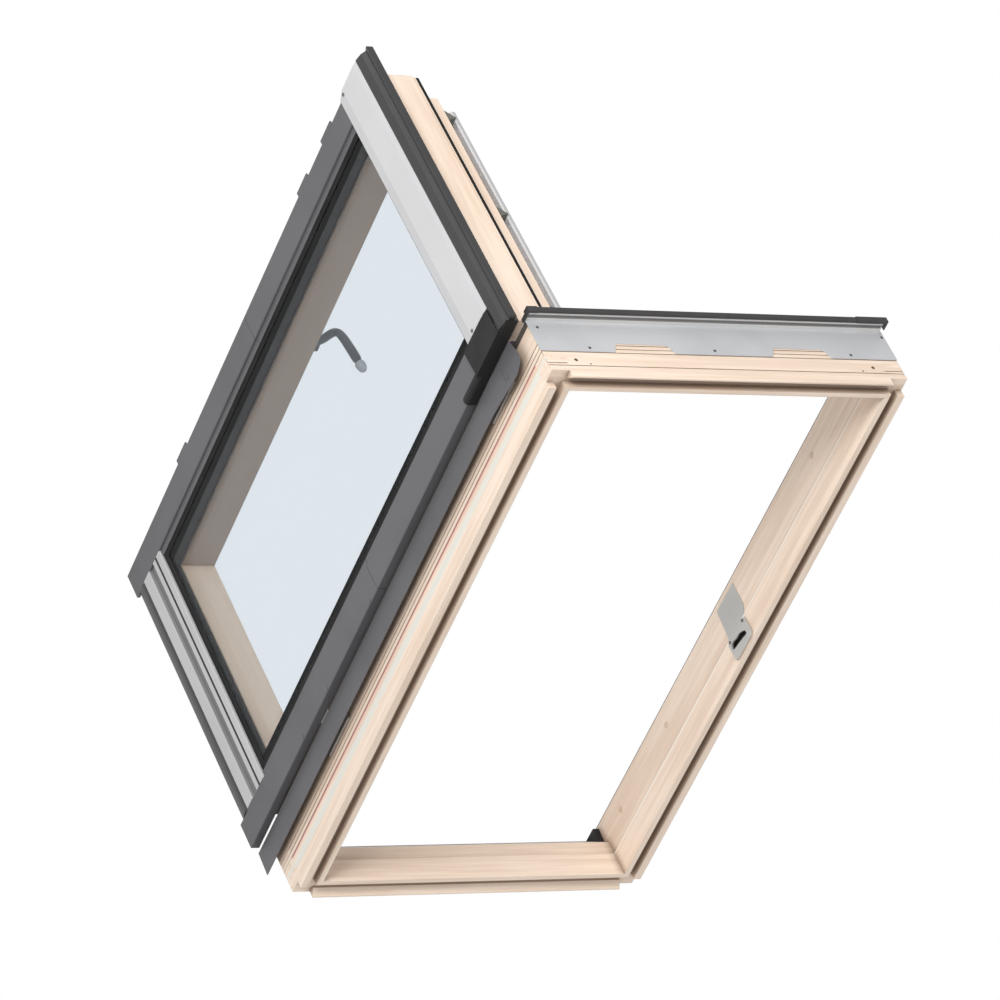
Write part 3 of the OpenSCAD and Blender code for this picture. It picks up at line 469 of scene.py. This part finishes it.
finishes = {
    "headPine": markedAndShadedMaterial(woodMaterial("headPine", "x", woodSettings, 0.31), woodMarksAndShade["head"]),
    "pineX": woodMaterial("pineX", "x", woodSettings, 0.66),
    "pineY": woodMaterial("pineY", "y", woodSettings, 0.12),
    "railPine": markedAndShadedMaterial(woodMaterial("railPine", "y", woodSettings, 0.83), woodMarksAndShade["sash"]),
    "stilePine": markedAndShadedMaterial(woodMaterial("stilePine", "z", woodSettings, 0.47), woodMarksAndShade["sash"]),
    "jambPine": markedAndShadedMaterial(woodMaterial("jambPine", "z", woodSettings, 0.22), woodMarksAndShade["jamb"]),
    "plugWood": woodMaterial("plugWood", "y", dict(woodSettings, light=(0.74, 0.58, 0.43, 1),
                                                   dark=(0.56, 0.40, 0.27, 1)), 0.2),
    "darkCladding": coatMaterial("darkCladding", (0.120, 0.118, 0.126), (0.098, 0.096, 0.102),
                                 metallic=0.1, smooth=0.42, rough=0.52, cloud=5.0, coat=0.05),
    "deepCladding": coatMaterial("deepCladding", (0.052, 0.050, 0.052), (0.043, 0.042, 0.043),
                                 metallic=0.1, smooth=0.38, rough=0.52),
    "silverCladding": coatMaterial("silverCladding", (0.68, 0.68, 0.695), (0.63, 0.63, 0.645),
                                   metallic=0.3, smooth=0.34, rough=0.46, cloud=6.0),
    "lowerCladding": foldShadedMaterial("lowerCladding", foldShadeSettings["bottom"], (0.55, 0.55, 0.56),
                                    (0.50, 0.50, 0.51), metallic=0.3, smooth=0.34, rough=0.46, cloud=6.0),
    "profileWithPaintedShade": foldShadedMaterial("profileWithPaintedShade", foldShadeSettings["profile"], (0.72, 0.71, 0.70),
                                     (0.67, 0.66, 0.65), metallic=0.15, smooth=0.36, rough=0.48, cloud=6.0),
    "sheetMetal": coatMaterial("sheetMetal", (0.70, 0.71, 0.73), (0.58, 0.59, 0.61), metallic=0.35,
                               smooth=0.3, rough=0.46, cloud=7.0, tooth=900.0),
    "steel": coatMaterial("steel", (0.60, 0.595, 0.575), (0.53, 0.525, 0.51), metallic=0.5,
                          smooth=0.32, rough=0.46, tooth=1200.0, stretch=(1, 1, 0.15)),
    "screwSteel": coatMaterial("screwSteel", (0.20, 0.20, 0.20), (0.15, 0.15, 0.15), metallic=0.7,
                               smooth=0.32, rough=0.46, tooth=1200.0),
    "spacerMetal": coatMaterial("spacerMetal", (0.014, 0.015, 0.017), (0.010, 0.011, 0.012), metallic=0.0,
                                smooth=0.45, rough=0.6, tooth=300.0, stretch=(1, 0.05, 1), bump=0.01,
                                specular=0.15),
    "aluminium": coatMaterial("aluminium", (0.66, 0.66, 0.665), (0.58, 0.58, 0.59), metallic=0.4,
                              smooth=0.3, rough=0.42, tooth=1500.0, stretch=(1, 0.05, 1)),
    "rubber": coatMaterial("rubber", (0.013, 0.013, 0.014), (0.009, 0.009, 0.010), smooth=0.55, rough=0.72,
                           specular=0.2),
    "handlePaint": coatMaterial("handlePaint", (0.042, 0.050, 0.060), (0.036, 0.043, 0.052), metallic=0.2,
                                smooth=0.32, rough=0.44, coat=0.15),
    "greyPlastic": coatMaterial("greyPlastic", (0.40, 0.41, 0.41), (0.36, 0.37, 0.37), smooth=0.4,
                                rough=0.52),
    "bracketPlastic": coatMaterial("bracketPlastic", (0.125, 0.125, 0.11), (0.10, 0.10, 0.088), smooth=0.42,
                                   rough=0.56),
    "darkPlastic": coatMaterial("darkPlastic", (0.016, 0.016, 0.018), (0.012, 0.012, 0.013), smooth=0.5,
                                rough=0.62, specular=0.3),
    "glass": glassMaterial("clearGlass", glassSettings),
}
nodeFinish = {
    "frame_head": "headPine", "frame_sill": "pineX", "frame_left_jamb": "jambPine",
    "frame_right_jamb": "jambPine", "wood_plugs": "plugWood", "head_sheet": "sheetMetal",
    "head_sheet_screws": "screwSteel",
    "head_profile": "profileWithPaintedShade", "head_casing": "deepCladding", "head_casing_end_left": "deepCladding",
    "head_casing_end_right": "deepCladding", "frame_cover_left": "darkCladding",
    "frame_cover_right": "darkCladding", "frame_cover_screws": "screwSteel", "sill_cover": "darkCladding",
    "sill_corner_pieces": "darkPlastic", "lock_keep": "steel", "lock_keep_screws": "steel",
    "striker_plate": "steel", "lower_hinge_frame_leaf": "steel", "upper_hinge_frame_leaf": "steel",
    "hinge_pins": "steel", "hinge_screws": "steel", "lower_hinge_sash_leaf": "steel",
    "upper_hinge_sash_leaf": "steel", "sash_hinge_stile": "stilePine", "sash_lock_stile": "stilePine",
    "sash_top_rail": "railPine", "sash_bottom_rail": "railPine", "sash_seal": "rubber",
    "glazing_tape": "rubber",
    "pane_inner": "glass", "pane_spacer": "spacerMetal", "pane_edge_seal": "rubber", "pane_outer": "glass",
    "outer_glazing_seal": "rubber", "sash_cover_hinge_lower": "darkCladding",
    "sash_cover_hinge_upper": "darkCladding", "sash_cover_lock_lower": "darkCladding",
    "sash_cover_lock_upper": "darkCladding", "sash_cover_bottom": "lowerCladding",
    "sash_cover_top": "silverCladding", "sash_top_profile": "deepCladding",
    "hinge_corner_cover": "darkPlastic", "sash_cover_clips": "darkCladding",
    "sash_cover_screws": "screwSteel",
    "lock_case": "handlePaint", "lock_bolt": "steel", "handle_lever": "handlePaint",
    "handle_end_cap": "greyPlastic", "handle_screws": "steel", "vent_flap": "pineY",
    "control_bar": "aluminium", "bar_brackets": "bracketPlastic", "flap_hinge_rod": "steel",
    "flap_hinge_lugs": "steel",
}


def dressNodes(finishOf):
    for name, obj in nodes.items():
        mat = finishes[finishOf[name]]
        if not obj.material_slots:
            obj.data.materials.append(mat)
        for holder in obj.material_slots:
            holder.material = mat


dressNodes(nodeFinish)
print("finishes on", len(nodeFinish), "nodes")


# Hinge axis, and depth of the installation line, in millimetres
hingeAxis = {"x": -331, "y": 120, "install": 55}


def onSash(x, y, z):
    # A place on the open sash, from its closed place in millimetres
    h = hingeAxis
    return Vector((h["x"] - (y - h["y"]), h["y"] + (x - h["x"]) - h["install"], z)) * mm


# Screws with crossed recesses

screwSettings = {
    "segments": 32,
    "arm": 0.46,
    "slot": 0.075,
    # radius and height of each ring, outside the recess
    "rings": [(1.0, 0.0), (1.0, 0.12), (0.93, 0.26), (0.72, 0.34)],
    # scale and height of the recess's own rings
    "recess": [(1.0, 0.36), (0.82, 0.06)],
    # piece: node, body, turn of the heads, radius and height in mm, places in metres
    "sets": {
        "headSheetScrewSet": ("head_sheet_screws", "frame", (0, 0, 0), 2.6, 1.0,
                              [(-0.316, 0.055, 1.1788), (0.3265, 0.055, 1.1788), (-0.240, 0.011, 1.1788),
                               (0.246, 0.011, 1.1788), (-0.010, 0.012, 1.1788)]),
        "keepScrewSet": ("lock_keep_screws", "frame", (0, -math.pi / 2, 0), 3.0, 1.2,
                         [(0.2895, -0.014, 0.556), (0.2895, -0.014, 0.608)]),
        "handleScrewSet": ("handle_screws", "sash", (0, math.pi / 2, 0), 3.4, 1.0,
                           [onSash(242, 49.5, 590), onSash(242, 49.5, 632)]),
    },
}


def makeScrewHead(s):
    mesh = bpy.data.meshes.new("screwHead")
    work = bmesh.new()
    count = s["segments"]
    rings = []
    angles = [2 * math.pi * (k + 0.5) / count for k in range(count)]
    for radius, height in s["rings"]:
        rings.append([work.verts.new((radius * math.cos(a), radius * math.sin(a), height)) for a in angles])
    for scale, height in s["recess"]:
        ring = []
        for a in angles:
            off = a % (math.pi / 2)
            off = min(off, math.pi / 2 - off)
            radius = scale * min(s["arm"], s["slot"] / math.sin(off))
            ring.append(work.verts.new((radius * math.cos(a), radius * math.sin(a), height)))
        rings.append(ring)
    for low, high in zip(rings, rings[1:]):
        for k in range(count):
            work.faces.new((low[k], low[(k + 1) % count], high[(k + 1) % count], high[k]))
    work.faces.new(rings[-1])
    work.faces.new(list(reversed(rings[0])))
    work.to_mesh(mesh)
    work.free()
    return bpy.data.objects.new("screwHead", mesh)


def makeScrewTree():
    tree = bpy.data.node_groups.new("screwSet", "GeometryNodeTree")
    for label, kind in (("Places", "NodeSocketGeometry"), ("Head", "NodeSocketObject"),
                        ("Finish", "NodeSocketMaterial"), ("Turn", "NodeSocketVector"),
                        ("Size", "NodeSocketVector"), ("Seed", "NodeSocketInt")):
        tree.interface.new_socket(label, in_out="INPUT", socket_type=kind)
    tree.interface.new_socket("Screws", in_out="OUTPUT", socket_type="NodeSocketGeometry")
    gin, gout = tree.nodes.new("NodeGroupInput"), tree.nodes.new("NodeGroupOutput")
    points = addNode(tree, "GeometryNodeMeshToPoints", [("Mesh", gin.outputs["Places"])])
    head = addNode(tree, "GeometryNodeObjectInfo", [("Object", gin.outputs["Head"])])
    placed = addNode(tree, "GeometryNodeInstanceOnPoints",
                     [("Points", points.outputs[0]), ("Instance", head.outputs["Geometry"]),
                      ("Rotation", gin.outputs["Turn"]), ("Scale", gin.outputs["Size"])])
    # Each screw ends at its own angle
    angle = addNode(tree, "FunctionNodeRandomValue", [("Seed", gin.outputs["Seed"])], data_type="FLOAT")
    angle.inputs[3].default_value = math.pi / 2
    spin = addNode(tree, "ShaderNodeCombineXYZ", [("Z", angle.outputs[1])])
    turned = addNode(tree, "GeometryNodeRotateInstances",
                     [("Instances", placed.outputs[0]), ("Rotation", spin.outputs[0]), ("Local Space", True)])
    real = addNode(tree, "GeometryNodeRealizeInstances", [("Geometry", turned.outputs[0])])
    done = addNode(tree, "GeometryNodeSetMaterial",
                   [("Geometry", real.outputs[0]), ("Material", gin.outputs["Finish"])])
    tree.links.new(done.outputs[0], gout.inputs[0])
    return tree


def makeScrews(s):
    head = makeScrewHead(s)
    tree = makeScrewTree()
    sockets = {item.name: item.identifier for item in tree.interface.items_tree if item.in_out == "INPUT"}
    for seed, (name, (node, body, turn, radius, height, places)) in enumerate(s["sets"].items()):
        mesh = bpy.data.meshes.new(name + "Places")
        mesh.from_pydata([tuple(p) for p in places], [], [])
        piece = bpy.data.objects.new(name, mesh)
        bpy.context.scene.collection.objects.link(piece)
        grown = piece.modifiers.new("screws", "NODES")
        grown.node_group = tree
        grown[sockets["Head"]] = head
        grown[sockets["Finish"]] = finishes["screwSteel"]
        grown[sockets["Turn"]] = turn
        grown[sockets["Size"]] = (radius * mm, radius * mm, height / s["recess"][0][1] * mm)
        grown[sockets["Seed"]] = seed
        graph = bpy.context.evaluated_depsgraph_get()
        solid = bpy.data.meshes.new_from_object(piece.evaluated_get(graph))
        piece.modifiers.clear()
        piece.data = solid
        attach(piece, body)
        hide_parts(node)
        print("screws:", name, len(solid.polygons), "faces")


makeScrews(screwSettings)


# Handle, swept along its middle line

handleSettings = {
    # middle line in the sash's closed place, with the half width and half height, in mm
    "lever": [((247, 52.5, 611), 7.9, 7.9), ((247, 44, 611), 7.9, 7.9), ((247.4, 34, 614), 7.6, 7.9),
              ((250, 24, 623), 7.2, 8.2), ((250, 15.5, 631.5), 7.4, 8.6), ((241, 10.5, 635.5), 7.8, 8.8),
              ((220, 7.6, 636), 8.0, 8.8), ((190, 4.6, 636), 8.3, 8.9), ((169, 3.1, 636), 8.6, 9.0)],
    "cap": [((168.4, 3.0, 636), 8.9, 9.3), ((165, 2.6, 636), 9.0, 9.4), ((157, 1.6, 636), 8.6, 9.0),
            ((151, 1.0, 636), 6.6, 7.0), ((148, 0.8, 636), 3.4, 3.6)],
    "around": 16,
    "levels": 2,
}


def sweepPiece(name, stations, s):
    mesh = bpy.data.meshes.new(name)
    work = bmesh.new()
    centres = [onSash(*place) for place, width, height in stations]
    side = None
    rings = []
    for k, (place, width, height) in enumerate(stations):
        ahead = (centres[min(k + 1, len(centres) - 1)] - centres[max(k - 1, 0)]).normalized()
        guess = side if side else Vector((0, 1, 0))
        side = (guess - ahead * guess.dot(ahead)).normalized()
        up = ahead.cross(side)
        ring = []
        for n in range(s["around"]):
            a = 2 * math.pi * n / s["around"]
            outward = side * math.cos(a) * width + up * math.sin(a) * height
            ring.append(work.verts.new(centres[k] + outward * mm))
        rings.append(ring)
    for low, high in zip(rings, rings[1:]):
        for n in range(s["around"]):
            m = (n + 1) % s["around"]
            work.faces.new((low[n], low[m], high[m], high[n]))
    work.faces.new(list(reversed(rings[0])))
    work.faces.new(rings[-1])
    bmesh.ops.recalc_face_normals(work, faces=work.faces)
    work.to_mesh(mesh)
    work.free()
    rough = bpy.data.objects.new(name + "Cage", mesh)
    bpy.context.scene.collection.objects.link(rough)
    smooth = rough.modifiers.new("smooth", "SUBSURF")
    smooth.levels = s["levels"]
    graph = bpy.context.evaluated_depsgraph_get()
    shape = bpy.data.meshes.new_from_object(rough.evaluated_get(graph))
    bpy.data.objects.remove(rough)
    for face in shape.polygons:
        face.use_smooth = True
    piece = bpy.data.objects.new(name, shape)
    bpy.context.scene.collection.objects.link(piece)
    return piece


def makeHandle(s):
    for name, line, node, finish in (("handleGrip", "lever", "handle_lever", "handlePaint"),
                                     ("handleCap", "cap", "handle_end_cap", "greyPlastic")):
        piece = sweepPiece(name, s[line], s)
        piece.data.materials.append(finishes[finish])
        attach(piece, "handle")
        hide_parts(node)
        print("handle:", name, len(piece.data.polygons), "faces")


makeHandle(handleSettings)
